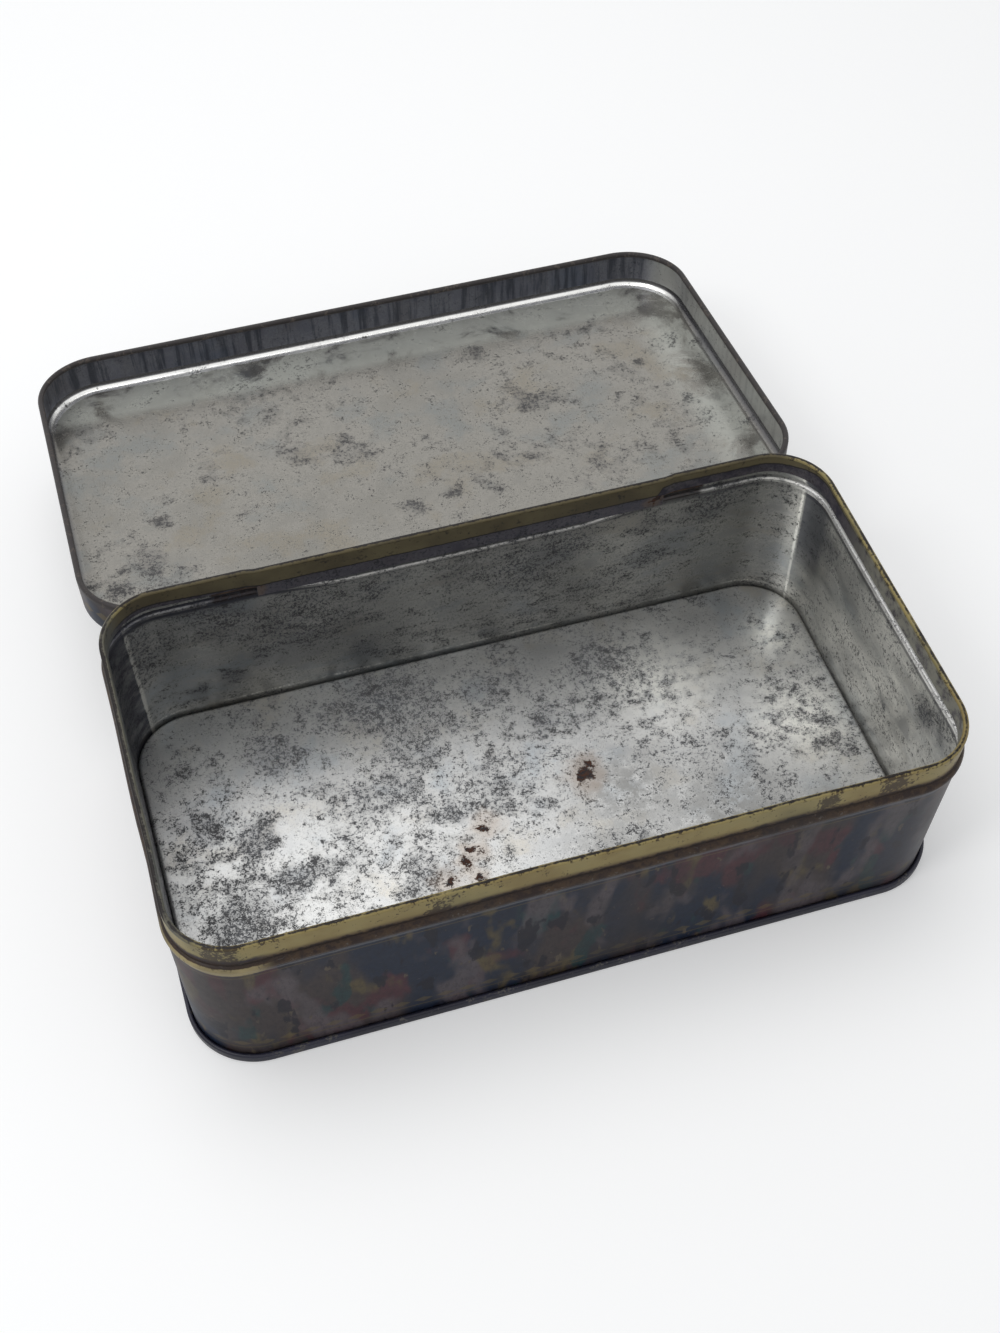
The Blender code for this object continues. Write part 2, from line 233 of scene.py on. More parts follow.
class Skin:
    """The mesh of one piece, with its finishes, and where each point lies on the flat sheet."""

    def __init__(self, name, *finish_names):
        self.name = name
        self.edit = bmesh.new()
        self.sheet = self.edit.loops.layers.uv.new("sheet")
        self.plan = self.edit.loops.layers.uv.new("plan")
        self.finish_names = finish_names
        self.flat = {}
        self.planar = {}

    def vertex(self, place, flat, planar):
        made = self.edit.verts.new(place)
        self.flat[made] = flat
        self.planar[made] = planar
        return made

    def face(self, corners, finish, wrap=None):
        made = self.edit.faces.new(corners)
        made.material_index = self.finish_names.index(finish)
        for loop in made.loops:
            along, down = self.flat[loop.vert]
            if wrap and along < wrap / 2:
                along += wrap
            loop[self.sheet].uv = (along, down)
            loop[self.plan].uv = self.planar[loop.vert]

    def make(self, body, node):
        low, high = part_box(node)
        for vertex in self.edit.verts:
            for axis in range(3):
                vertex.co[axis] = min(max(vertex.co[axis], low[axis]), high[axis])
        bmesh.ops.recalc_face_normals(self.edit, faces=self.edit.faces)
        mesh = bpy.data.meshes.new(self.name)
        self.edit.to_mesh(mesh)
        self.edit.free()
        for name in self.finish_names:
            mesh.materials.append(finishes[name])
        mesh.shade_smooth()
        mesh.set_sharp_from_angle(angle=SHARP_ANGLE)
        made = bpy.data.objects.new(self.name, mesh)
        bpy.context.scene.collection.objects.link(made)
        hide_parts(node)
        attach(made, body)


def sweep(skin, trace, stops, place, panel=False, shift_y=0.0, press=None, gap=None):
    """Carries the sheet round the stops.

    A panel goes on across the middle, and anything else is a ring. press says how far each point is moved
    inwards and down. gap is (first point, last point, stops) of an opening cut in the sheet.
    """
    run = [0.0]
    for before, after in zip(trace.points, trace.points[1:]):
        run.append(run[-1] + math.dist(before, after))
    around = [0.0]
    for before, after in zip(stops, stops[1:]):
        reach = [(x + CORNER_RADIUS * tx, y + CORNER_RADIUS * ty) for x, y, tx, ty in (before, after)]
        around.append(around[-1] + math.dist(*reach))
    whole = around[-1] + math.dist(stops[0][:2], stops[-1][:2])
    left, right = [], []
    for rings, points in zip((left, right), both_sides(trace.points, SHEET)):
        for (out, up), length in zip(points, run):
            ring = []
            for (x, y, tx, ty), along in zip(stops, around):
                inwards, lower = press(x, y, tx, ty, up) if press else (0.0, 0.0)
                stand = CORNER_RADIUS + out - inwards
                spot = (x + stand * tx, y + stand * ty)
                where = place(spot[0], spot[1] + shift_y, up - lower)
                ring.append(skin.vertex(where, (along, length if panel else up), spot))
            rings.append(ring)

    def strip(one, other, finish, numbers):
        for number in numbers:
            after = (number + 1) % len(stops)
            wrap = whole if after == 0 else None
            skin.face((one[number], one[after], other[after], other[number]), finish, wrap)

    every = range(len(stops))
    last = len(run) - 1
    top, foot, opening = gap or (last + 1, last + 1, [])
    uncut = [number for number in every if number not in opening]
    for index, (left_finish, right_finish) in enumerate(trace.skins):
        numbers = uncut if top <= index < foot else every
        strip(left[index], left[index + 1], left_finish, numbers)
        strip(right[index], right[index + 1], right_finish, numbers)
    strip(left[last], right[last], left_finish, uncut if foot == last else every)
    if panel:
        skin.face(left[0], trace.skins[0][0])
        skin.face(right[0], trace.skins[0][1])
    else:
        strip(left[0], right[0], trace.skins[0][0], every)
    if gap:
        finish = trace.skins[top][0]
        for level in (top, foot):
            if level != last:
                strip(left[level], right[level], finish, opening)
        for number in (opening[0], (opening[-1] + 1) % len(stops)):
            for index in range(top, foot):
                skin.face((left[index][number], left[index + 1][number],
                           right[index + 1][number], right[index][number]), finish)


def prism(skin, trace, thickness, start, end, place, finish):
    """A sheet of one section that runs along X."""
    left, right = both_sides(trace.points, thickness)
    outline = left + right[::-1]
    ends = [[skin.vertex(place(x, out, up), (x, up), (x, out)) for out, up in outline] for x in (start, end)]
    skin.face(ends[0], finish)
    skin.face(ends[1], finish)
    for index in range(len(outline)):
        after = (index + 1) % len(outline)
        skin.face((ends[0][index], ends[0][after], ends[1][after], ends[1][index]), finish)


def smooth_share(value, low, high):
    share = min(1.0, max(0.0, (value - low) / (high - low)))
    return share * share * (3 - 2 * share)


# Dents pressed into the wall: where they are, from the tin's middle, how wide and how deep
DENTS = (
    (0.028, -0.057, 0.024, 0.022, 0.0005), (-0.060, -0.057, 0.016, 0.018, 0.0004),
    (0.083, -0.057, 0.030, 0.012, 0.0003), (-0.1035, 0.024, 0.034, 0.016, 0.0005),
    (-0.1035, -0.022, 0.050, 0.010, 0.0004), (0.1035, 0.008, 0.026, 0.024, 0.0003),
    (-0.015, -0.057, 0.052, 0.016, 0.0003), (0.052, -0.057, 0.054, 0.009, 0.0002),
)
DENT_REACH = 3.0
DENTS_FROM, DENTS_FULL = 0.004, 0.011
BACK_DENTS_TOP, BACK_DENTS_FADE = 0.038, 0.008


def dent(x, y, up):
    total = 0.0
    for at_x, at_y, at_up, width, depth in DENTS:
        away = ((x - at_x) ** 2 + (y - at_y) ** 2 + (up - at_up) ** 2) / width**2
        if away < DENT_REACH**2:
            total += depth * math.exp(-away)
    return total * smooth_share(up, DENTS_FROM, DENTS_FULL)


def wall_press(x, y, tx, ty, up):
    """How far a point of the wall is moved inwards and down: by dents, and behind the hinge."""
    pressed = dent(x + CORNER_RADIUS * tx, y + CORNER_RADIUS * ty, up)
    if ty > BY_BACK:
        pressed *= smooth_share(BACK_DENTS_TOP - up, 0.0, BACK_DENTS_FADE)
    before_end = HALF_HINGE + RECESS_RAMP - abs(x)
    if ty < 1.0 or before_end <= 0.0:
        return pressed, 0.0
    bead_level = BODY_HEIGHT - BEAD_CENTRE_DEPTH
    neck_share = smooth_share(up, bead_level, BODY_HEIGHT - NECK_HEIGHT)
    pressed += HINGE_RECESS * min(1.0, before_end / RECESS_RAMP) * neck_share
    bead_foot = bead_level - (BEAD_RADIUS + BEAD_FOOT_RADIUS) * math.sin(BEAD_FOOT_ANGLE)
    in_bead = bead_foot - HALF_SHEET < up < bead_level - HALF_SHEET / 2
    return pressed, BEAD_STRETCH * smooth_share(before_end, 0.0, BEAD_STRETCH_RAMP) if in_bead else 0.0


def open_between(stops, low, high):
    """The stops along the back from which the next stretch lies between low and high, in turn."""
    found = []
    for number, (x, y, tx, ty) in enumerate(stops):
        after = stops[(number + 1) % len(stops)]
        if ty > ON_BACK and after[3] > ON_BACK and low <= (x + after[0]) / 2 <= high:
            found.append(number)
    first = next(number for number in found if (number - 1) % len(stops) not in found)
    return sorted(found, key=lambda number: (number - first) % len(stops))


# ---------------------------------------------------------------- finishes

EVEN = (1.0, 1.0, 1.0)
LINE_EDGE = 0.0001
BUMP_DEPTH = 0.00012
PATINA = (0.030, 0.034, 0.048)
DEEP = (0.010, 0.009, 0.012)
RUST = (0.060, 0.022, 0.010)
OCHRE = (0.120, 0.090, 0.040)
HIGHLIGHT = (0.95, 0.94, 0.88)


class Nodes:
    """Short names for the shader nodes of one tree."""

    def __init__(self, tree):
        self.tree = tree

    def node(self, kind, inputs=(), **settings):
        """A new node, with pairs of an input's name or number and what it is fed."""
        made = self.tree.nodes.new(kind)
        for key, value in settings.items():
            setattr(made, key, value)
        for key, value in inputs:
            self.feed(made.inputs[key], value)
        return made

    def feed(self, socket, value):
        if isinstance(value, bpy.types.NodeSocket):
            self.tree.links.new(value, socket)
        elif socket.type == "RGBA":
            socket.default_value = (*value, 1.0)
        else:
            socket.default_value = value

    def maths(self, operation, *values):
        return self.node("ShaderNodeMath", enumerate(values), operation=operation).outputs[0]

    def vectors(self, operation, *values):
        return self.node("ShaderNodeVectorMath", enumerate(values), operation=operation).outputs

    def most(self, one, other):
        return self.maths("MAXIMUM", one, other)

    def times(self, total, *factors):
        """The product of sockets and numbers."""
        for factor in factors:
            total = self.maths("MULTIPLY", total, factor)
        return total

    def sum(self, *terms):
        """The sum of (socket or number, times) pairs."""
        total = 0.0
        for value, times in terms:
            total = self.maths("MULTIPLY_ADD", value, times, total)
        return total

    def step(self, value, low, high):
        """0 up to low, 1 from high on, and smooth between them; low may be the greater."""
        fed = (("Value", value), ("From Min", low), ("From Max", high))
        return self.node("ShaderNodeMapRange", fed, interpolation_type="SMOOTHSTEP").outputs["Result"]


class Paint(Nodes):
    """A material and short names for the nodes that make it."""

    def __init__(self, name):
        self.material = bpy.data.materials.new(name)
        self.material.use_nodes = True
        super().__init__(self.material.node_tree)
        self.shader = self.tree.nodes["Principled BSDF"]
        self.here = self.node("ShaderNodeTexCoord").outputs["Object"]

    def flat(self, layer):
        return self.node("ShaderNodeUVMap", uv_map=layer).outputs["UV"]

    def stretched(self, vector, scale, move=(0.0, 0.0, 0.0)):
        fed = (("Vector", vector), ("Scale", scale), ("Location", move))
        return self.node("ShaderNodeMapping", fed).outputs["Vector"]

    def parts(self, vector):
        return self.node("ShaderNodeSeparateXYZ", ((0, vector),)).outputs

    def noise(self, vector, size, detail=5.0, rough=0.6, bend=0.0, output=0):
        fed = (("Vector", vector), ("Scale", 1 / size), ("Detail", detail), ("Roughness", rough),
               ("Distortion", bend))
        return self.node("ShaderNodeTexNoise", fed).outputs[output]

    def noises(self, vector, *kinds):
        return [self.noise(vector, *kind) for kind in kinds]

    def wobble(self, vector, size, reach):
        """A vector that sways by half the reach to each side."""
        drift = self.noise(vector, size, rough=0.5, output="Color")
        centred = self.vectors("SUBTRACT", drift, (0.5, 0.5, 0.5))[0]
        fed = ((0, centred), ("Scale", reach))
        return self.node("ShaderNodeVectorMath", fed, operation="SCALE").outputs[0]

    def mix(self, share, one, other):
        fed = (("Factor", share), (6, one), (7, other))
        return self.node("ShaderNodeMix", fed, data_type="RGBA").outputs[2]

    def tinted(self, colour, tint, *shares):
        """The colour, with the tint over it where the shares' product is more than 0."""
        return self.mix(self.times(*shares), colour, tint)

    def near(self, vector, spots):
        """1 in the middle of each spot (x, y, z, radius), falling to 0 at its radius."""
        total = 0.0
        for *middle, radius in spots:
            away = self.vectors("DISTANCE", vector, middle)["Value"]
            total = self.most(self.step(away, radius, 0.0), total)
        return total

    def line(self, value, at, width):
        away = self.maths("ABSOLUTE", self.sum((value, 1.0), (1.0, -at)))
        return self.step(away, width / 2 + LINE_EDGE, width / 2 - LINE_EDGE)

    def bump(self, height, strength):
        fed = (("Strength", strength), ("Distance", BUMP_DEPTH), ("Height", height))
        self.feed(self.shader.inputs["Normal"], self.node("ShaderNodeBump", fed).outputs["Normal"])

    def set(self, **inputs):
        for name, value in inputs.items():
            self.feed(self.shader.inputs[name.replace("_", " ")], value)
        return self.material


class Tin(Paint):
    """Bare tin, and the noises that all its marks are made of."""

    def __init__(self, name, seed, smear, stains):
        super().__init__(name)
        self.seed = seed
        self.even = self.stretched(self.here, EVEN, (seed, seed, seed))
        self.drawn = self.stretched(self.even, smear)
        self.broad, self.cloud, self.small = self.noises(
            self.drawn, (0.050, 3.0, 0.5), (0.018, 7.0, 0.64, 0.5), (0.0045, 6.0, 0.72))
        self.grain, self.dust = self.noises(self.even, (0.0009, 4.0, 0.74), (0.00038, 2.0, 0.6))
        self.ragged = self.vectors("ADD", self.here, self.wobble(self.even, 0.006, 0.010))[0]
        self.marked = self.near(self.ragged, stains)
        self.flecks = 0.0
        # Where a painted paler zone is, which only the lid's inside has
        self.painted_paler_zone = 0.0


def toned(colour, times):
    return tuple(part * by for part, by in zip(colour, times))


def bare_tin(name, light, dull, patchy, flecked, stains=(), rust=(), soft=0.30, seed=0.0, grey=PATINA,
             smear=EVEN, crisp=0.075, marks_and_light=None):
    """Tinned steel gone dull: patches of dark specks, a soft change of tone, named stains and rust.

    patchy and flecked are the levels that the noise has to pass: the lower, the more of them. crisp is how
    far the noise rises from a fleck's edge to its middle. smear draws the clouds out: they are shorter where
    it is over 1. The last argument is the function that adds the marks, painted light among them, which only
    this face of the tin has.
    """
    tin = Tin(name, seed, smear, stains)
    thick = tin.sum((tin.broad, 0.35), (tin.cloud, 0.55), (tin.small, 0.30), (tin.marked, 0.13))
    patches = tin.step(thick, patchy - 0.05, patchy + 0.14)
    specks = tin.sum((tin.grain, 0.52), (tin.dust, 0.24), (tin.small, 0.24), (patches, 0.062),
                     (tin.marked, 0.03))
    tin.flecks = tin.step(specks, flecked, flecked + crisp)
    tone = tin.sum((tin.broad, 0.30), (tin.cloud, 0.40), (tin.small, 0.30))
    colour = tin.mix(tin.step(tone, 0.40, 0.58), dull, light)
    tint = tin.noise(tin.stretched(tin.drawn, EVEN, (2.7, 0.0, 0.0)), 0.022)
    colour = tin.tinted(colour, toned(dull, (0.80, 0.93, 1.05)), tin.step(tint, 0.52, 0.66), 0.50)
    colour = tin.tinted(colour, toned(dull, (1.05, 0.94, 0.76)), tin.step(tint, 0.46, 0.34), 0.45)
    colour = tin.tinted(colour, dull, tin.step(tin.grain, 0.42, 0.62), 0.55)
    pepper = tin.step(tin.sum((tin.dust, 0.6), (tin.small, 0.4)), 0.50, 0.60)
    colour = tin.tinted(colour, toned(dull, (0.4, 0.4, 0.4)), pepper, 0.30)
    clouded = tuple(0.45 * one + 0.55 * other for one, other in zip(dull, grey))
    colour = tin.tinted(colour, clouded, patches, tin.sum((tin.small, 0.8), (1.0, 0.27)))
    if marks_and_light:
        colour = marks_and_light(tin, colour)
    ink = tin.mix(tin.step(tin.small, 0.45, 0.62), grey, DEEP)
    colour = tin.tinted(colour, ink, tin.flecks, 0.78)
    rough = tin.sum((patches, 0.07), (tin.flecks, 0.18), (tin.broad, 0.06), (1.0, soft - 0.03))
    metal = tin.sum((patches, -0.20), (tin.flecks, -0.45), (tin.painted_paler_zone, -0.50), (1.0, 0.88))
    height = tin.sum((tin.flecks, -0.4), (tin.small, 0.5), (tin.dust, 0.15), (tin.broad, 3.0))
    if rust:
        wide = tin.near(tin.ragged, [(x, y, z, radius * 3.2) for x, y, z, radius in rust])
        rusty = tin.sum((tin.near(tin.ragged, rust), 0.20), (wide, 0.16), (tin.small, 0.30),
                        (tin.grain, 0.60))
        rusty = tin.step(rusty, 0.63, 0.70)
        colour = tin.tinted(colour, (0.26, 0.17, 0.10), tin.step(wide, 0.25, 0.9), 0.35)
        colour = tin.tinted(colour, tin.mix(tin.step(tin.grain, 0.42, 0.6), DEEP, RUST), rusty)
        rough = tin.sum((rough, 1.0), (rusty, 0.4))
        metal = tin.sum((metal, 1.0), (rusty, -0.9))
        height = tin.sum((height, 1.0), (rusty, 0.8))
    tin.bump(height, 0.6)
    return tin.set(Base_Color=colour, Roughness=tin.maths("MINIMUM", rough, 0.9),
                   Metallic=tin.most(metal, 0.05))


def base_sheen_and_dull(tin, colour):
    """Painted sheen: spots painted bright where the base reflects light, and dull spots painted darker."""
    for spots, tint, share in BASE_SHEEN_AND_DULL:
        colour = tin.tinted(colour, tint, tin.near(tin.ragged, spots), tin.step(tin.small, 0.66, 0.40), share)
    return colour


def wall_wear_and_light(tin, colour):
    """Painted light on the wall's inside: the right wall lighter, a highlight along the bead's groove with
    shade beside it, a highlight with its shadow in each rear corner, shade over the left wall and at the
    slot's ends; and the foot line.
    """
    across, back, up = tin.parts(tin.here)
    level = tin.parts(tin.flat("sheet"))[1]
    on_right = tin.step(across, 0.097, 0.1033)
    # Painted light: the right wall made lighter in uneven blotches, where more light falls on it
    mottled = tin.most(tin.sum((tin.cloud, 2.4), (1.0, -0.75)), 0.1)
    colour = tin.tinted(colour, (0.70, 0.69, 0.64), on_right, mottled)
    colour = tin.tinted(colour, (0.080, 0.082, 0.085), on_right, tin.marked, 0.55)
    foot = tin.times(tin.line(level, 0.0043, 0.0007), tin.step(back, -0.030, -0.015))
    colour = tin.tinted(colour, (0.80, 0.79, 0.74), foot, tin.step(tin.grain, 0.47, 0.56),
                        tin.step(tin.cloud, 0.40, 0.58))

    # The rear right corner. off is how far a point is to the left of the upright highlight
    off = tin.sum((across, -0.545), (back, 0.839), (up, -0.05), (tin.small, 0.0008), (1.0, 0.06478))
    corner = tin.times(tin.step(across, 0.0935, 0.0955), tin.step(back, -0.0280, -0.0240))
    glow = tin.most(tin.step(off, 0.0011, 0.0005), tin.times(tin.step(off, 0.0060, 0.0004), 0.17))
    varied = tin.sum((tin.step(tin.cloud, 0.38, 0.56), 0.45), (1.0, 0.50))
    colour = tin.tinted(colour, HIGHLIGHT, tin.step(off, -0.0003, 0.0001), corner, tin.times(glow, varied))
    shadow = tin.times(tin.step(off, -0.0003, -0.0009), tin.step(off, -0.0135, -0.0085), corner)
    colour = tin.tinted(colour, (0.070, 0.077, 0.098), shadow, tin.step(up, 0.015, 0.027), 0.78)

    # The rear left corner, in the same way: a thin painted highlight, and painted shade over the left wall
    # beyond it
    off = tin.sum((across, -0.788), (back, -0.616), (tin.small, 0.0010), (1.0, -0.08035))
    corner = tin.step(across, -0.088, -0.090)
    thin = tin.times(tin.step(off, -0.0015, -0.0006), tin.step(off, 0.0003, 0.0))
    colour = tin.tinted(colour, (0.66, 0.65, 0.60), thin, corner, 0.5)
    on_left = tin.most(tin.step(across, -0.1000, -0.1020), tin.times(tin.step(off, 0.0, 0.0005), corner))

    # The bead's groove: a painted highlight line with painted shade beside it, dimmer along the back and to
    # its left
    off = tin.maths("ABSOLUTE", tin.sum((level, 1.0), (tin.small, 0.0004), (1.0, -0.0465)))
    colour = tin.tinted(colour, (0.060, 0.060, 0.070), on_right, tin.step(off, 0.0026, 0.0019), 0.65)
    dim = tin.times(tin.step(across, 0.098, 0.088), tin.step(back, -0.030, -0.014))
    leftwards = tin.step(across, -0.035, -0.058)
    shade = tin.times(tin.step(off, 0.0024, 0.0012), tin.times(dim, 0.55))
    shade = tin.maths("ADD", shade, tin.times(shade, leftwards, 0.7))
    colour = tin.tinted(colour, (0.035, 0.036, 0.050), shade)
    bright = tin.times(tin.step(off, 0.0007, 0.00042), tin.step(tin.cloud, 0.35, 0.5))
    bright = tin.most(bright, tin.times(tin.step(off, 0.00119, 0.00091), on_right))
    tint = tin.mix(on_right, (0.78, 0.77, 0.73), (0.97, 0.96, 0.94))
    colour = tin.tinted(colour, tint, bright, tin.sum((dim, -0.55), (leftwards, -0.15), (1.0, 0.90)))
    # Painted shade over the left wall, uneven
    uneven = tin.maths("MINIMUM", tin.sum((tin.small, 2.2), (tin.cloud, 0.8), (1.0, -0.70)), 0.96)
    colour = tin.tinted(colour, (0.036, 0.037, 0.052), on_left, uneven)

    # Painted shade at the ends of the slot beside the hinge strip
    from_middle = tin.maths("ABSOLUTE", across)
    slot = tin.times(tin.step(from_middle, 0.0586, 0.0592), tin.step(from_middle, 0.0726, 0.0706))
    slot = tin.times(slot, tin.times(tin.step(back, -0.012, -0.008), tin.step(level, 0.0452, 0.0462)))
    return tin.tinted(colour, (0.026, 0.020, 0.020), slot, 0.9)


def lid_painted_light(tin, colour):
    """Painted light on the lid's inside: a painted highlight along the far side of the bend round the panel,
    painted shade over the bend, and a painted paler zone inside it.
    """
    fold_start, fold_end = 0.0005, 0.0036
    across, back = tin.parts(tin.here)[:2]
    level = tin.parts(tin.flat("sheet"))[1]
    rim = tin.most(tin.step(back, 0.097, 0.103), tin.step(across, 0.084, 0.096))
    # A painted paler zone by the far and right sides: painted reflection, also less metallic
    tin.painted_paler_zone = tin.times(rim, tin.step(level, 0.0012, 0.0004), tin.step(tin.cloud, 0.34, 0.50))
    colour = tin.tinted(colour, (0.44, 0.45, 0.41), tin.painted_paler_zone, 0.75)
    # Painted shade over the bend
    colour = tin.tinted(colour, (0.085, 0.085, 0.095), tin.step(level, fold_start, fold_end), 0.85)
    start = tin.sum((level, 1.0), (tin.cloud, 0.0018), (1.0, -0.0009))
    inside = tin.times(tin.step(start, fold_start, fold_start + 0.0004),
                       tin.step(level, fold_end, fold_end - 0.0005))
    # A painted highlight along the far side of the bend, with fewer flecks
    fold_highlight = tin.times(inside, tin.step(back, 0.095, 0.110), tin.step(tin.small, 0.70, 0.60))
    tin.flecks = tin.times(tin.flecks, tin.sum((fold_highlight, -0.8), (1.0, 1.0)))
    return tin.tinted(colour, (0.92, 0.92, 0.90), fold_highlight)


def skirt_wear(tin, colour):
    """The lid's skirt: paler on the right, with dark runs down it that are fewer there."""
    across = tin.parts(tin.here)[0]
    colour = tin.tinted(colour, (0.64, 0.645, 0.61), tin.step(across, 0.097, 0.105), 0.62)
    flat = tin.stretched(tin.flat("sheet"), (1.0, 0.07, 1.0), (tin.seed, 0.0, 0.0))
    runs = tin.step(tin.noise(flat, 0.0030, 4.0, 0.7), 0.46, 0.62)
    return tin.tinted(colour, PATINA, runs, tin.sum((tin.step(across, 0.094, 0.103), -0.5), (1.0, 0.7)))


class Print(Paint):
    """Printed sheet, and the noises that its wear is made of."""

    def __init__(self, name):
        super().__init__(name)
        self.broad, self.small, self.grain = self.noises(
            self.here, (0.030, 4.0, 0.6), (0.0035, 6.0, 0.7), (0.0008, 3.0, 0.6))


def marbled(paint, flat):
    """A smoky print in muted colours: navy and brown, with clouds of maroon, ochre and teal."""
    at = paint.stretched(flat, (1.25, 0.55, 1.0), (0.31, 0.12, 0.0))
    tone = paint.noise(at, 0.030, 3.0, 0.5, 0.2)
    fine = paint.noise(at, 0.0016, 5.0, 0.72)
    colour = paint.mix(paint.step(tone, 0.44, 0.56), (0.012, 0.019, 0.038), (0.046, 0.036, 0.036))
    clouds = (((0.0, 0.0), 0.0150, (0.070, 0.024, 0.032), 0.605, 0.090),
              ((1.7, 0.3), 0.0130, (0.105, 0.082, 0.040), 0.630, 0.095),
              ((3.1, 0.8), 0.0130, (0.014, 0.042, 0.046), 0.640, 0.060),
              ((2.3, 0.6), 0.0170, (0.095, 0.080, 0.088), 0.585, 0.120),
              ((5.3, 0.5), 0.0080, (0.010, 0.010, 0.018), 0.650, 0.050),
              ((7.9, 0.1), 0.0050, (0.110, 0.088, 0.064), 0.715, 0.045))
    for move, size, tint, level, fade in clouds:
        cloud = paint.noise(paint.stretched(at, EVEN, (*move, 0.0)), size, 3.0, 0.50, 0.15)
        share = paint.step(paint.sum((cloud, 1.0), (fine, 0.12)), level, level + fade)
        colour = paint.tinted(colour, tint, share, 0.85)
    return paint.tinted(colour, (0.012, 0.012, 0.018), paint.step(fine, 0.42, 0.66), 0.40)


def lozenges(paint, along, across, middle, pitch, half):
    """A row of small lozenges: 1 on them."""
    share = paint.maths("FRACT", paint.sum((along, 1 / pitch), (1.0, 40.0)))
    beside = paint.maths("ABSOLUTE", paint.sum((share, 2.0), (1.0, -1.0)))
    above = paint.maths("ABSOLUTE", paint.sum((across, 1 / half), (1.0, -middle / half)))
    return paint.step(paint.sum((beside, 1.0), (above, 1.0)), 1.0, 0.72)


def lid_print(paint, flat):
    """Marbled, with two ochre rules round the top and a row of lozenges round the skirt."""
    along, level = paint.parts(flat)[:2]
    plan = paint.flat("plan")
    past = []
    for part, half in zip(paint.parts(plan), (0.0780, 0.0315)):
        inset = paint.sum((paint.maths("ABSOLUTE", part), 1.0), (1.0, -half))
        past.append(paint.maths("POWER", paint.most(inset, 0.0), 2.0))
    beyond = paint.maths("SQRT", paint.maths("ADD", *past))
    rules = paint.most(paint.line(beyond, 0.0150, 0.0007), paint.line(beyond, 0.0172, 0.0003))
    top = paint.tinted(marbled(paint, plan), OCHRE, rules, 0.8)
    row = lozenges(paint, along, level, 0.0088, 0.0052, 0.0016)
    side = paint.tinted(marbled(paint, flat), OCHRE, row, 0.6)
    colour = paint.mix(paint.step(level, 0.0040, 0.0042), top, side)
    edge = paint.step(paint.sum((level, 1.0), (paint.small, 0.0012)), 0.0133, 0.0139)
    colour = paint.tinted(colour, (0.045, 0.040, 0.040), edge)
    return colour, paint.sum((paint.small, 0.55), (paint.grain, 0.35),
                             (paint.step(level, 0.0105, 0.0160), 0.08))


def wall_print(paint, flat):
    """Marbled between two rules, with lozenges at the foot, under a brown bead and a gold neck and hem."""
    across, back = paint.parts(paint.here)[:2]
    along, level = paint.parts(flat)[:2]
    small = paint.small
    colour = paint.tinted(marbled(paint, flat), (0.095, 0.088, 0.092), paint.step(across, 0.066, 0.098), 0.60)
    rules = paint.most(paint.line(level, 0.0440, 0.0004), paint.line(level, 0.0062, 0.0004))
    rules = paint.most(rules, lozenges(paint, along, level, 0.0085, 0.0060, 0.0014))
    colour = paint.tinted(colour, OCHRE, rules, 0.45)

    # The bead: a thin painted highlight line and painted shade on its underside, then brown, with a pale
    # patch at the front left corner
    uneven = paint.sum((level, 1.0), (small, 0.0007), (1.0, -0.00035))
    colour = paint.tinted(colour, (0.13, 0.135, 0.15), paint.line(uneven, 0.0455, 0.0007), 0.65)
    colour = paint.tinted(colour, (0.010, 0.009, 0.011), paint.step(uneven, 0.0460, 0.0462))
    brown = paint.mix(paint.step(small, 0.4, 0.6), (0.030, 0.020, 0.018), (0.062, 0.040, 0.026))
    colour = paint.tinted(colour, brown, paint.step(uneven, 0.0466, 0.0470))
    at_corner = paint.step(paint.near(paint.here, [FRONT_LEFT_CORNER]), 0.10, 0.40)
    colour = paint.tinted(colour, (0.34, 0.28, 0.15), at_corner, paint.line(uneven, 0.0470, 0.0034))

    # The gold neck and hem, with dirt on them
    edge = paint.sum((level, 1.0), (small, 0.0032), (1.0, -0.0016))
    colour = paint.tinted(colour, (0.016, 0.012, 0.010), paint.line(edge, 0.0496, 0.0008), 0.7)
    gold = paint.mix(paint.step(paint.broad, 0.38, 0.62), (0.235, 0.180, 0.074), (0.345, 0.290, 0.128))
    gold = paint.tinted(gold, (0.115, 0.082, 0.044), paint.step(level, 0.0522, 0.0502))
    gold = paint.tinted(gold, (0.030, 0.022, 0.034), at_corner, paint.step(edge, 0.0522, 0.0508))
    colour = paint.tinted(colour, gold, paint.step(edge, 0.0500, 0.0508))
    dirt = paint.sum((small, 0.55), (paint.grain, 0.40), (paint.near(paint.here, GOLD_SPOTS), 0.16),
                     (paint.line(level, 0.0566, 0.0012), 0.03))
    colour = paint.tinted(colour, (0.038, 0.024, 0.018), paint.step(dirt, 0.535, 0.59),
                          paint.step(level, 0.0480, 0.0490), 0.85)

    # The rolled rim: greyer at the left, darker brown at the back as painted shade, and painted shade at its
    # lip and on its far half
    rolled = paint.step(level, 0.0561, 0.0563)
    colour = paint.tinted(colour, (0.108, 0.113, 0.108), rolled, paint.step(across, -0.096, -0.101), 0.80)
    colour = paint.tinted(colour, (0.092, 0.077, 0.046), rolled, paint.step(back, -0.0075, -0.0045), 0.85)
    set_in = paint.step(paint.maths("ABSOLUTE", across), 0.0620, 0.0590)
    rear_half = paint.step(paint.sum((back, 1.0), (set_in, HINGE_RECESS)), -0.0031, -0.0028)
    far_half = paint.most(paint.step(across, -0.1026, -0.1029), rear_half)
    edge_on = paint.sum((level, 1.0), (small, 0.0005), (paint.grain, 0.0002))
    lip = paint.most(paint.step(edge_on, 0.05722, 0.05735), paint.times(far_half, rolled))
    colour = paint.tinted(colour, (0.014, 0.011, 0.010), lip)
    return colour, paint.sum((small, 0.55), (paint.grain, 0.35), (paint.line(level, 0.0474, 0.0022), 0.05))


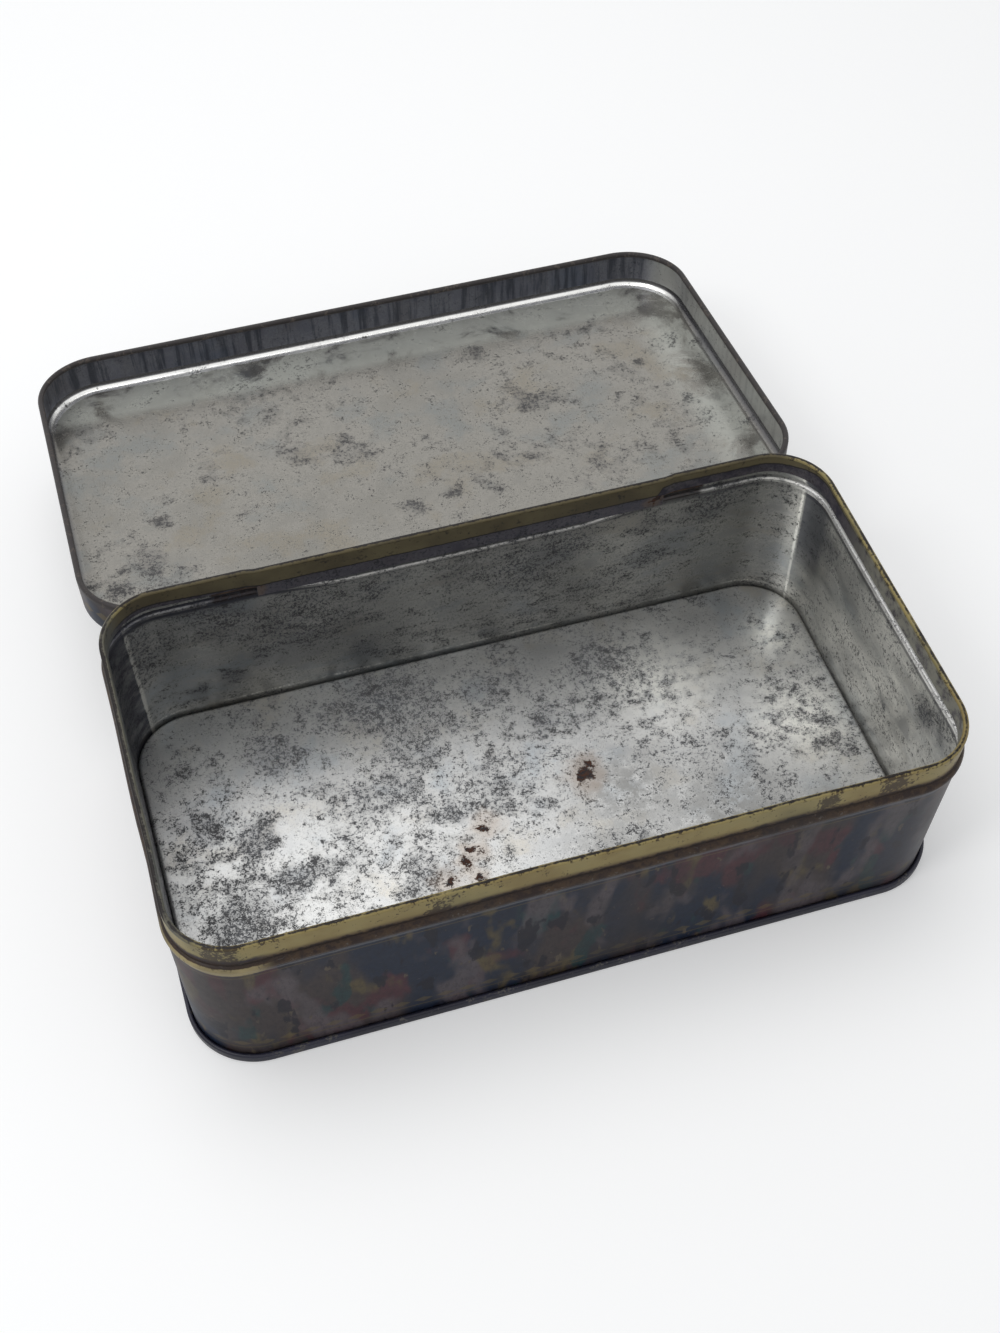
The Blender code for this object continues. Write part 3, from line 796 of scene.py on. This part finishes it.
def printed(name, face):
    """The outside, all worn. face is the function that prints this face of it."""
    paint = Print(name)
    colour, chips = face(paint, paint.flat("sheet"))
    colour = paint.tinted(colour, (0.030, 0.027, 0.028), paint.step(paint.broad, 0.46, 0.66), 0.45)
    worn = paint.step(chips, 0.565, 0.59)
    colour = paint.tinted(colour, (0.10, 0.085, 0.075), worn, 0.8)
    scratches = paint.noise(paint.stretched(paint.here, (1.0, 1.0, 9.0)), 0.0030, 4.0, 0.7)
    colour = paint.tinted(colour, (0.16, 0.15, 0.14), paint.step(scratches, 0.66, 0.70), 0.35)
    rough = paint.sum((paint.broad, 0.20), (worn, 0.22), (paint.small, 0.12), (1.0, 0.22))
    paint.bump(paint.sum((worn, -0.5), (paint.small, 0.4), (paint.broad, 4.0)), 0.5)
    return paint.set(Base_Color=colour, Roughness=rough, Metallic=0.0, Specular_IOR_Level=0.17)


def hem_inside(name):
    """The hem's inner face: gold lacquer by the rim and dark stains below it, but all gold at the hinge."""
    paint = Print(name)
    across, back, level = paint.parts(paint.here)
    small = paint.small
    gold = paint.mix(paint.step(paint.broad, 0.38, 0.62), (0.078, 0.064, 0.038), (0.128, 0.108, 0.060))
    stain = paint.mix(paint.step(small, 0.38, 0.62), (0.030, 0.027, 0.040), (0.085, 0.078, 0.088))
    past_hinge = paint.most(paint.step(across, 0.0565, 0.0585),
                            paint.times(paint.step(across, -0.0565, -0.0900), 0.45))
    past_hinge = paint.most(past_hinge, paint.step(back, -0.030, -0.032))
    edge = paint.sum((past_hinge, 0.0028), (paint.step(across, 0.096, 0.104), 0.0014), (small, 0.0010),
                     (1.0, 0.0509))
    below = paint.maths("SUBTRACT", level, edge)
    colour = paint.mix(paint.step(below, -0.0002, 0.0002), stain, gold)
    colour = paint.tinted(colour, (0.012, 0.010, 0.012), paint.line(below, 0.0, 0.0005), 0.8)
    # Paler on the right side
    paler_right = paint.times(paint.step(across, 0.096, 0.100), paint.step(back, -0.025, -0.055))
    colour = paint.tinted(colour, (0.270, 0.262, 0.215), paler_right, paint.step(small, 0.66, 0.42), 0.80)
    colour = paint.tinted(colour, (0.130, 0.135, 0.128), paint.step(across, -0.096, -0.101), 0.75)
    dirt = paint.step(paint.sum((small, 0.55), (paint.grain, 0.45)), 0.54, 0.62)
    colour = paint.tinted(colour, (0.020, 0.016, 0.016), dirt, 0.7)
    # Painted shade along the top of the hem, at the lip
    lip = paint.step(paint.sum((level, 1.0), (small, 0.0010)), 0.0566, 0.0568)
    colour = paint.tinted(colour, (0.022, 0.016, 0.013), lip)
    paint.bump(paint.sum((small, 0.5), (paint.broad, 3.0)), 0.5)
    return paint.set(Base_Color=colour, Roughness=paint.sum((paint.broad, 0.2), (1.0, 0.28)), Metallic=0.0,
                     Specular_IOR_Level=0.2)


def lacquered(name, ground, worn_to):
    """Dark lacquer, rubbed through in places."""
    paint = Paint(name)
    place = paint.stretched(paint.here, EVEN, (0.4, 0.4, 0.4))
    broad, small, grain = paint.noises(place, (0.035, 4.0, 0.6), (0.004, 6.0, 0.72), (0.0008, 3.0, 0.6))
    worn = paint.step(paint.sum((broad, 0.35), (small, 0.5), (grain, 0.25)), 0.58, 0.64)
    colour = paint.mix(paint.step(broad, 0.35, 0.65), ground, toned(ground, (1.9, 1.9, 1.9)))
    colour = paint.tinted(colour, worn_to, worn)
    rough = paint.sum((broad, 0.25), (worn, 0.1), (1.0, 0.22))
    paint.bump(paint.sum((worn, -0.4), (small, 0.5), (broad, 3.0)), 0.5)
    return paint.set(Base_Color=colour, Roughness=rough, Metallic=0.0, Specular_IOR_Level=0.3)


def on_base(*spots):
    return [(x, y, PANEL_RISE, radius) for x, y, radius in spots]


def on_back(*spots):
    return [(x, -0.002, up, radius) for x, up, radius in spots]


def on_right(*spots):
    return [(0.1033, y, up, radius) for y, up, radius in spots]


# Spots: where they are and how wide
BASE_STAINS = on_base(
    (-0.0896, -0.0428, 0.013), (-0.0647, -0.0244, 0.014), (-0.0763, -0.0518, 0.011),
    (-0.0860, -0.0777, 0.013), (-0.0675, -0.0683, 0.007), (-0.0207, -0.0588, 0.005),
    (0.0808, -0.0484, 0.005), (0.0759, -0.0293, 0.002), (-0.0924, -0.0134, 0.003),
    (0.0291, -0.0828, 0.003), (0.0400, -0.0200, 0.016), (-0.030, -0.014, 0.018), (0.0150, -0.0350, 0.008))
BASE_RUST = on_base(
    (0.0198, -0.0577, 0.0042), (0.0215, -0.0545, 0.0030), (-0.0276, -0.0804, 0.0034),
    (-0.0181, -0.0730, 0.0032), (-0.0133, -0.0660, 0.0034), (-0.0212, -0.0773, 0.0028),
    (-0.0195, -0.0830, 0.0026))
# Painted sheen: bright spots where the base reflects light; the dull spots are darker patches
BASE_PAINTED_SHEEN = on_base((0.0920, -0.0250, 0.016), (0.0860, -0.0560, 0.026), (0.0550, -0.0300, 0.030))
BASE_DULL = on_base((0.0560, -0.0820, 0.034), (0.0240, -0.0930, 0.034), (0.0800, -0.0960, 0.026),
                    (0.0300, -0.0660, 0.026))
BASE_SHEEN_AND_DULL = ((BASE_PAINTED_SHEEN, HIGHLIGHT, 0.75), (BASE_DULL, (0.23, 0.228, 0.220), 0.90))
LID_STAINS = (
    (0.0429, 0.0649, 0.0301, 0.009), (0.0500, 0.0668, 0.0299, 0.007), (0.0065, 0.0590, 0.0306, 0.0030),
    (0.0699, 0.0589, 0.0306, 0.0030), (-0.0058, 0.0312, 0.0331, 0.0070), (0.0186, 0.0292, 0.0333, 0.0050),
    (0.0070, 0.0321, 0.0330, 0.0060), (0.0325, 0.0959, 0.0273, 0.0070), (-0.0858, 0.0274, 0.0334, 0.0120),
    (-0.0772, 0.0259, 0.0336, 0.0080), (-0.0786, 0.0463, 0.0317, 0.0050), (0.0916, 0.0515, 0.0313, 0.0050),
    (0.0831, 0.0735, 0.0293, 0.0035), (0.1026, 0.0341, 0.0328, 0.0060), (-0.0954, 0.0219, 0.0339, 0.0080))
WALL_STAINS = [(-0.1035, -0.050, 0.0300, 0.060), *on_back(
    (-0.0494, 0.0300, 0.022), (-0.0950, 0.0350, 0.018), (0.0174, 0.0330, 0.014), (0.0294, 0.0370, 0.012),
    (-0.0700, 0.0420, 0.018), (0.0739, 0.0390, 0.008), (-0.0524, 0.0278, 0.008), (-0.0706, 0.0150, 0.007),
    (-0.0802, 0.0106, 0.006), (-0.0723, 0.0371, 0.007), (-0.0277, 0.0361, 0.008), (-0.0310, 0.0128, 0.007),
    (-0.0601, 0.0203, 0.006), (0.0781, 0.0411, 0.010)), *on_right(
    (-0.0697, 0.0208, 0.004), (-0.0878, 0.0369, 0.008), (-0.0962, 0.0413, 0.008), (-0.0256, 0.0362, 0.009))]
STRIP_RUST = ((0.0570, -0.0035, 0.0500, 0.002), (-0.0585, -0.0035, 0.0490, 0.002))
GOLD_SPOTS = (
    (0.0779, -0.1166, 0.0535, 0.008), (0.060, -0.1166, 0.053, 0.006), (-0.0933, -0.1166, 0.0530, 0.009),
    (-0.040, -0.1166, 0.0520, 0.006), (-0.1040, -0.090, 0.0530, 0.014))
FRONT_LEFT_CORNER = (-0.0985, -0.1130, 0.0470, 0.024)

finishes = {
    "base_in": bare_tin("base_inside", (0.74, 0.735, 0.705), (0.44, 0.445, 0.445), 0.560, 0.545, BASE_STAINS,
                        BASE_RUST, soft=0.36, seed=0.7, grey=(0.050, 0.054, 0.066), marks_and_light=base_sheen_and_dull),
    "base_out": lacquered("base_underside", (0.012, 0.012, 0.022), (0.085, 0.080, 0.075)),
    "wall_in": bare_tin("wall_inside", (0.67, 0.66, 0.595), (0.255, 0.258, 0.255), 0.532, 0.560, WALL_STAINS,
                        seed=1.9, smear=(0.7, 0.7, 1.7), marks_and_light=wall_wear_and_light),
    "lid_panel": bare_tin("lid_inside", (0.35, 0.335, 0.305), (0.255, 0.247, 0.226), 0.62, 0.562, LID_STAINS,
                          soft=0.25, seed=3.1, grey=(0.020, 0.021, 0.027), crisp=0.045, marks_and_light=lid_painted_light),
    "lid_skirt": bare_tin("lid_skirt_inside", (0.28, 0.285, 0.315), (0.13, 0.135, 0.17), 0.56, 0.59,
                          seed=4.3, marks_and_light=skirt_wear),
    "print": printed("printed_sheet", wall_print),
    "hem": hem_inside("hem_inside"),
    "lid_print": printed("printed_lid", lid_print),
    "strip": bare_tin("strip_tin", (0.21, 0.20, 0.225), (0.09, 0.085, 0.105), 0.56, 0.54, rust=STRIP_RUST,
                      soft=0.32, seed=5.2),
    "wire": bare_tin("wire_steel", (0.28, 0.26, 0.24), (0.16, 0.15, 0.145), 0.62, 0.62, soft=0.4, seed=6.6),
}

# ---------------------------------------------------------------- the wall
slot_end = HALF_HINGE + SLOT_PAST_STRIP
recess_end = HALF_HINGE + RECESS_RAMP
stops = stations((-slot_end, -recess_end, -HALF_HINGE, HALF_HINGE, recess_end, slot_end))
wall = Skin("tin_wall", "print", "hem", "wall_in")
trace = Trace(NECK_LINE - 2 * HEM_RADIUS, BODY_HEIGHT - HEM_DEPTH, RIGHT_ANGLE, "hem", "wall_in")
trace.go_to_height(BODY_HEIGHT - HALF_SHEET - HEM_RADIUS, 3).finish("print", "wall_in")
trace.turn(HEM_RADIUS, -math.pi).go_to_height(BODY_HEIGHT - SLOT_TOP_DEPTH, 3)
slot_top = len(trace.points) - 1
trace.go_to_height(BODY_HEIGHT - NECK_HEIGHT, 2).turn(SHOULDER_RADIUS, BEAD_TOP_ANGLE)
trace.turn(BEAD_RADIUS, -BEAD_TOP_ANGLE).turn(BEAD_RADIUS, -BEAD_FOOT_ANGLE)
slot_level = HINGE_HEIGHT + KNUCKLE_LINE_RADIUS - TAB_THICKNESS / 2 - SLOT_GAP
slot_foot = min(range(slot_top, len(trace.points)),
                key=lambda index: abs(trace.points[index][1] - slot_level))
trace.turn(BEAD_FOOT_RADIUS, BEAD_FOOT_ANGLE).go_to_height(WALL_SPLIT_HEIGHT)
trace.go_to_height(HALF_SHEET + 2 * SEAM_PITCH, 8).turn(SEAM_PITCH, math.pi)
trace.go_to_height(SEAM_HEIGHT - SHEET - SEAM_TIP_GAP)
sweep(wall, trace, stops, on_tin, press=wall_press,
      gap=(slot_top, slot_foot, open_between(stops, -slot_end, slot_end)))
wall.make("tin", "body_wall")

# ---------------------------------------------------------------- the bottom
base = Skin("tin_bottom", "base_in", "base_out")
chuck_line = WALL_LINE - SEAM_PITCH
trace = Trace(chuck_line - PANEL_CORNER_RADIUS - FLAT_EDGE, PANEL_RISE - HALF_SHEET, 0.0,
              "base_in", "base_out")
trace.go(FLAT_EDGE).turn(PANEL_CORNER_RADIUS, -RIGHT_ANGLE)
trace.go_to_height(HALF_SHEET + SEAM_CORNER_RADIUS).turn(SEAM_CORNER_RADIUS, RIGHT_ANGLE)
trace.go(4 * SEAM_PITCH - 2 * SEAM_CORNER_RADIUS).turn(SEAM_CORNER_RADIUS, RIGHT_ANGLE)
trace.go_to_height(SEAM_HEIGHT - HALF_SHEET - SEAM_PITCH).turn(SEAM_PITCH, math.pi)
trace.go_to_height(SHEET + SEAM_PITCH + SEAM_TIP_GAP)
sweep(base, trace, stations(), on_tin, panel=True)
base.make("tin", "base_plate")

# ---------------------------------------------------------------- the lid
notch_end = HALF_HINGE + NOTCH_CLEARANCE
stops = stations((-notch_end, notch_end))
lid = Skin("tin_lid", "lid_print", "lid_panel", "lid_skirt")
bend = LID_FILLET + HALF_SHEET
trace = Trace(LID_LINE - bend - FLAT_EDGE, LID_TOP - HALF_SHEET, 0.0, "lid_print", "lid_panel")
trace.go(FLAT_EDGE).turn(bend, -RIGHT_ANGLE).finish("lid_print", "lid_skirt")
trace.go_to_height(NOTCH_TOP, 2)
notch_top = len(trace.points) - 1
trace.go_to_height(LID_EDGE + LID_CURL / 2).turn((LID_CURL - SHEET) / 2, -LID_CURL_TURN)
sweep(lid, trace, stops, on_lid, panel=True, shift_y=LID_MIDDLE,
      gap=(notch_top, len(trace.points) - 1, open_between(stops, -notch_end, notch_end)))
tab_line = LID_LINE - HINGE_OUT
swing = math.acos((tab_line + TAB_BEND_RADIUS) / (KNUCKLE_LINE_RADIUS + TAB_BEND_RADIUS))
tab = Trace(tab_line, NOTCH_TOP + TAB_OVERLAP, -RIGHT_ANGLE, "", "")
tab.go_to_height((KNUCKLE_LINE_RADIUS + TAB_BEND_RADIUS) * math.sin(swing))
tab.turn(TAB_BEND_RADIUS, swing).turn(KNUCKLE_LINE_RADIUS, -swing - KNUCKLE_TURN)
pitch = HINGE_LENGTH / KNUCKLES
for number in range(1, KNUCKLES, 2):
    start = -HALF_HINGE + number * pitch + KNUCKLE_GAP / 2
    prism(lid, tab, TAB_THICKNESS, start, start + pitch - KNUCKLE_GAP, on_lid, "lid_skirt")
lid.make("lid", "lid")

# ---------------------------------------------------------------- the hinge strip and the wire
for node, finish in (("hinge_strip", "strip"), ("hinge_wire", "wire")):
    for material_slot in frame["nodes"][node].material_slots:
        material_slot.material = finishes[finish]


# ---------------------------------------------------------------- floor, light and camera
def floor_material():
    """Pale, and a little paler to the camera than to the light that it throws back."""
    paint = Paint("floor_white")
    seen = paint.node("ShaderNodeLightPath").outputs["Is Camera Ray"]
    away = paint.vectors("LENGTH", paint.here)["Value"]
    paler = paint.sum((paint.step(away, 0.45, 1.6), 0.6), (1.0, 0.20))
    return paint.set(Base_Color=(0.86, 0.86, 0.86), Roughness=0.9, Specular_IOR_Level=0.1,
                     Emission_Color=(1.0, 1.0, 1.0), Emission_Strength=paint.times(seen, paler))


floor_mesh = bpy.data.meshes.new("floor")
floor_mesh.from_pydata([(-4, -4, 0), (4, -4, 0), (4, 4, 0), (-4, 4, 0)], [], [(0, 1, 2, 3)])
floor_mesh.materials.append(floor_material())
floor = bpy.data.objects.new("floor", floor_mesh)
bpy.context.scene.collection.objects.link(floor)


def lamp(name, place, aim, width, depth, power):
    data = bpy.data.lights.new(name, "AREA")
    data.shape = "RECTANGLE"
    data.size = width
    data.size_y = depth
    data.energy = power
    made = bpy.data.objects.new(name, data)
    made.location = place
    made.rotation_euler = (Vector(aim) - Vector(place)).to_track_quat("-Z", "Y").to_euler()
    bpy.context.scene.collection.objects.link(made)


lamp("overhead", (-0.20, 0.28, 1.05), (0.0, -0.02, 0.0), 1.0, 0.8, 4.2)
lamp("left", (-0.72, -0.28, 0.88), (0.05, -0.02, 0.0), 0.30, 0.30, 2.0)

# White to the camera and in reflections, and softer as light
world = bpy.data.worlds.new("studio")
bpy.context.scene.world = world
world.use_nodes = True
world.node_tree.nodes.clear()
studio = Nodes(world.node_tree)
path = studio.node("ShaderNodeLightPath").outputs
seen = studio.most(path["Is Camera Ray"], studio.most(path["Is Glossy Ray"], path["Is Transmission Ray"]))
white = studio.node("ShaderNodeBackground", (("Color", (1.0, 1.0, 1.0)), ("Strength", 1.0))).outputs[0]
soft = studio.node("ShaderNodeBackground", (("Color", (0.97, 0.985, 1.0)), ("Strength", 0.55))).outputs[0]
chosen = studio.node("ShaderNodeMixShader", enumerate((seen, soft, white))).outputs[0]
studio.node("ShaderNodeOutputWorld", (("Surface", chosen),))

# The photograph's viewing angle, found from the tin's outlines
azimuth, elevation, roll = math.radians(17.0767), math.radians(59.4208), math.radians(0.1038)
ahead = Vector((math.sin(azimuth) * math.cos(elevation), math.cos(azimuth) * math.cos(elevation),
                -math.sin(elevation)))
right = Vector((math.cos(azimuth), -math.sin(azimuth), 0.0))
up = right.cross(ahead)
right, up = right * math.cos(roll) + up * math.sin(roll), up * math.cos(roll) - right * math.sin(roll)
lens = bpy.data.cameras.new("camera")
lens.sensor_fit = "AUTO"
lens.sensor_width = 36.0
lens.lens = 41.0719
lens.shift_x = 0.0150
lens.shift_y = 0.17517
lens.clip_start = 0.01
camera = bpy.data.objects.new("camera", lens)
camera.matrix_world = Matrix((
    (right.x, up.x, -ahead.x, -0.084162), (right.y, up.y, -ahead.y, -0.292824),
    (right.z, up.z, -ahead.z, 0.363462), (0.0, 0.0, 0.0, 1.0)))
bpy.context.scene.collection.objects.link(camera)
bpy.context.scene.camera = camera
bpy.context.scene.view_settings.view_transform = "Standard"
